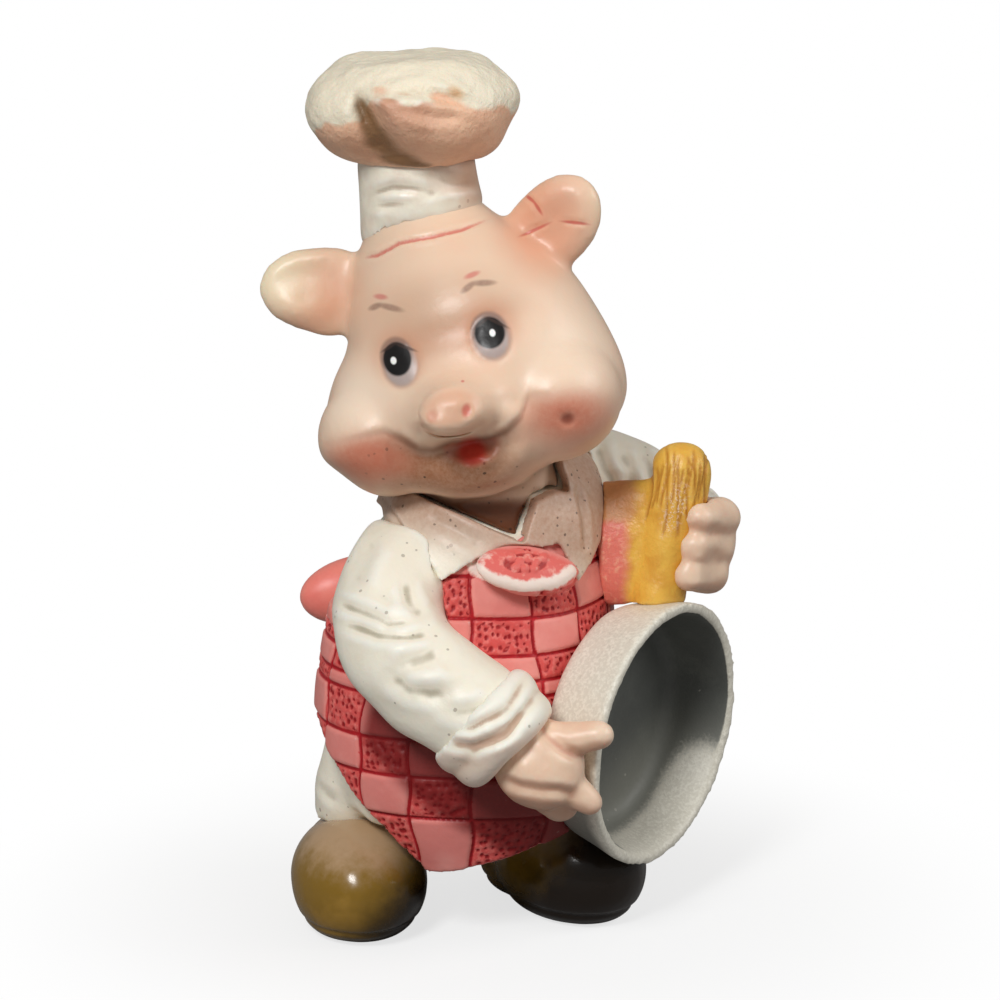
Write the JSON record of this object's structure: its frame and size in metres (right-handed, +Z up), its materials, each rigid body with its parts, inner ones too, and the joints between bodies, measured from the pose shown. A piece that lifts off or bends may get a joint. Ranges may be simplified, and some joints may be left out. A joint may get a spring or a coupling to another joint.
{
  "type": "pig figurine",
  "caption": "Standing painted resin pig in a chef's hat, shirt, checked bib apron and shoes, holding a round pan by its handle and rim.",
  "frame": {"origin": "on the table, under the middle of the whole figure's outline", "axes": "+Z up; the figure's body faces -Y; its left arm, which holds the pan's handle, is on +X"},
  "size_m": [0.0464, 0.044, 0.0864],
  "materials": {
    "hat_cloth": "satin ivory paint, worn",
    "skin": "satin pink resin with blush",
    "shirt_cloth": "satin ivory paint",
    "cuff_cloth": "satin ivory paint with a pink tint",
    "apron_check": "matte red and pink check paint",
    "apron_red": "satin salmon-red paint",
    "pan_grey": "silver-grey metallic paint",
    "handle_ochre": "satin ochre paint with brown grain",
    "trouser_cloth": "satin ivory paint",
    "shoe_brown": "gloss olive-brown paint"
  },
  "bodies": {
    "root": {"apron": "apron_check", "apron_bow": "apron_red", "collar": "shirt_cloth", "hat_band": "hat_cloth", "hat_crown": "hat_cloth", "head": "skin", "left_cuff": "cuff_cloth", "left_ear": "skin", "left_hand": "skin", "left_shoe": "shoe_brown", "left_sleeve": "shirt_cloth", "pan": "pan_grey", "pan_handle": "handle_ochre", "right_cuff": "cuff_cloth", "right_ear": "skin", "right_hand": "skin", "right_shoe": "shoe_brown", "right_sleeve": "shirt_cloth", "shirt_body": "shirt_cloth", "tail": "skin", "trousers": "trouser_cloth", "waist_tie": "apron_red"}
  },
  "joints": []
}
